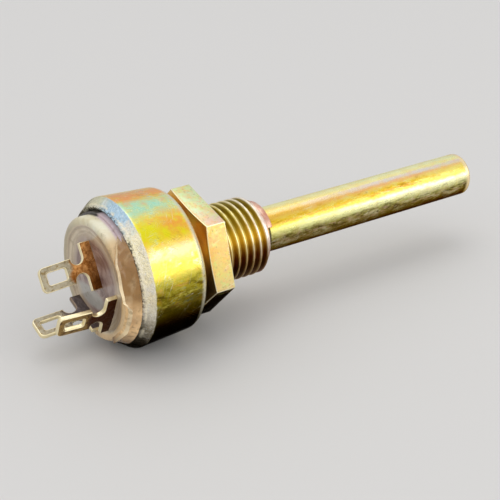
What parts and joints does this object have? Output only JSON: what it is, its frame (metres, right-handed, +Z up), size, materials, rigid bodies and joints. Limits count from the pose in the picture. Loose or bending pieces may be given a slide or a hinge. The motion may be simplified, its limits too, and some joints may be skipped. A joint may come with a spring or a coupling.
{
  "type": "rotary potentiometer",
  "caption": "Sealed panel-mount rotary potentiometer: crimped round case, threaded bushing with hex nut, long plain shaft and flat solder lugs.",
  "frame": {"origin": "on the shaft axis, in the plane of the case's front face, which seats against the panel", "axes": "+X along the shaft towards its free end; +Z up; the solder lugs point towards -X"},
  "size_m": [0.0451, 0.0131, 0.013],
  "materials": {
    "case_steel": "drawn steel with a yellow iridescent chromate, the crimp nearer silver",
    "bushing_metal": "turned, plated and yellow passivated",
    "nut_metal": "steel with a pale yellow chromate",
    "shaft_metal": "turned steel with a yellow iridescent chromate",
    "ring_metal": "spring steel, pinkish plating",
    "washer_metal": "plain",
    "pin_metal": "plain",
    "seal_rubber": "matt black",
    "rotor_plastic": "moulded, dark brown",
    "spring_metal": "spring bronze sheet",
    "brush_carbon": "pressed carbon",
    "base_moulding": "cream moulding, glossy",
    "track_carbon": "resistive composition",
    "collector_metal": "silvered ring",
    "terminal_metal": "brass sheet, tinned at the eyelets",
    "compound_resin": "amber sealing resin"
  },
  "bodies": {
    "housing": {"case": "case_steel", "bushing": "bushing_metal", "hex_nut": "nut_metal", "thrust_washer": "washer_metal", "stop_pin": "pin_metal", "base": "base_moulding", "resistive_track": "track_carbon", "collector_ring": "collector_metal", "terminal_centre": "terminal_metal", "terminal_right": "terminal_metal", "terminal_left": "terminal_metal", "base_gasket": "seal_rubber", "sealing_compound": "compound_resin"},
    "spindle": {"shaft": "shaft_metal", "retaining_ring": "ring_metal", "shaft_seal": "seal_rubber", "rotor": "rotor_plastic", "wiper_spring": "spring_metal", "track_brush": "brush_carbon", "collector_brush": "brush_carbon", "rotor_clip": "pin_metal"}
  },
  "joints": [
    {"name": "shaft_turn", "type": "hinge", "parent": "housing", "child": "spindle", "pos_m": [0, 0, 0], "axis": [1, 0, 0], "range_deg": [-135, 135]}
  ]
}
